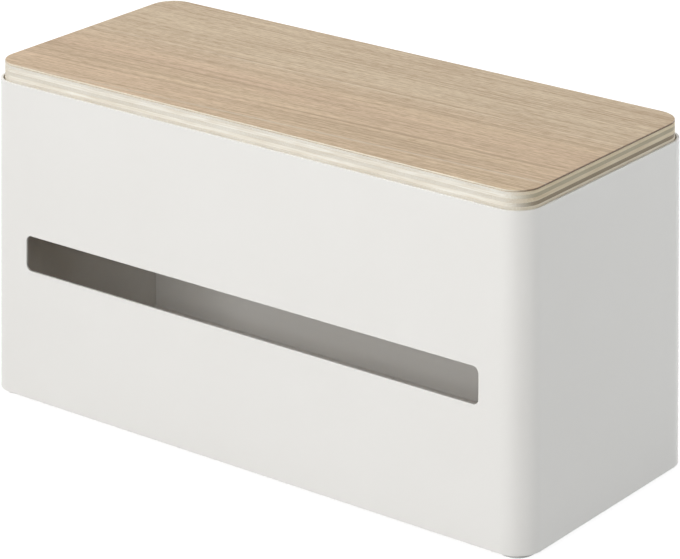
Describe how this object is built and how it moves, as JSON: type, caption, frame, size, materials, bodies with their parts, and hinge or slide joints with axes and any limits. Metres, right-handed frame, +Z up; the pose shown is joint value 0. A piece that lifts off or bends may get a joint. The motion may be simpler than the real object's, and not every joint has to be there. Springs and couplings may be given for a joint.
{
  "type": "tissue box with drawer",
  "caption": "Upright tissue box: rounded white sheet-steel shell, long front dispensing slot, drop-in plywood lid and a drawer that slides out of its end.",
  "frame": {"origin": "on the ground under the middle of the shell: the bottom centre of the bounding box", "axes": "+X to the right along the slotted front, +Y from the front to the back, +Z up"},
  "size_m": [0.26, 0.11, 0.1325],
  "materials": {
    "white_coat": "off-white powder coat on 1 mm sheet steel, fine satin texture",
    "foot_rubber": "light grey non-slip pad, matt",
    "plated_steel": "zinc-plated steel, dull",
    "glide_plastic": "slippery natural-white plastic strip",
    "lid_veneer": "pale ash-like wood veneer, grain along the width, satin lacquer",
    "ply_long_grain": "birch ply with its grain along the lid, sanded and sealed edge",
    "ply_cross_grain": "birch ply with its grain across the lid, sanded and sealed edge"
  },
  "bodies": {
    "case": {"shell": "white_coat", "base_plate": "white_coat", "foot_front_left": "foot_rubber", "foot_front_right": "foot_rubber", "foot_back_left": "foot_rubber", "foot_back_right": "foot_rubber", "rail_front": "plated_steel", "rail_back": "plated_steel", "guide_stud": "plated_steel", "bracket_front_left": "white_coat", "bracket_front_right": "white_coat", "bracket_back_left": "white_coat", "bracket_back_right": "white_coat"},
    "drawer": {"drawer_panel": "white_coat", "drawer_tray": "white_coat", "glide_front": "glide_plastic", "glide_back": "glide_plastic"},
    "lid": {"lid_veneer": "lid_veneer", "lid_crossband": "ply_cross_grain", "lid_ply_1": "ply_long_grain", "lid_ply_2": "ply_cross_grain", "lid_ply_3": "ply_long_grain", "lid_ply_4": "ply_cross_grain", "lid_ply_5": "ply_long_grain"}
  },
  "joints": [
    {"name": "drawer_slide", "type": "slide", "parent": "case", "child": "drawer", "axis": [-1, 0, 0], "range_m": [0, 0.2]},
    {"name": "lid_lift", "type": "slide", "parent": "case", "child": "lid", "axis": [0, 0, 1], "range_m": [0, 0.12]}
  ]
}
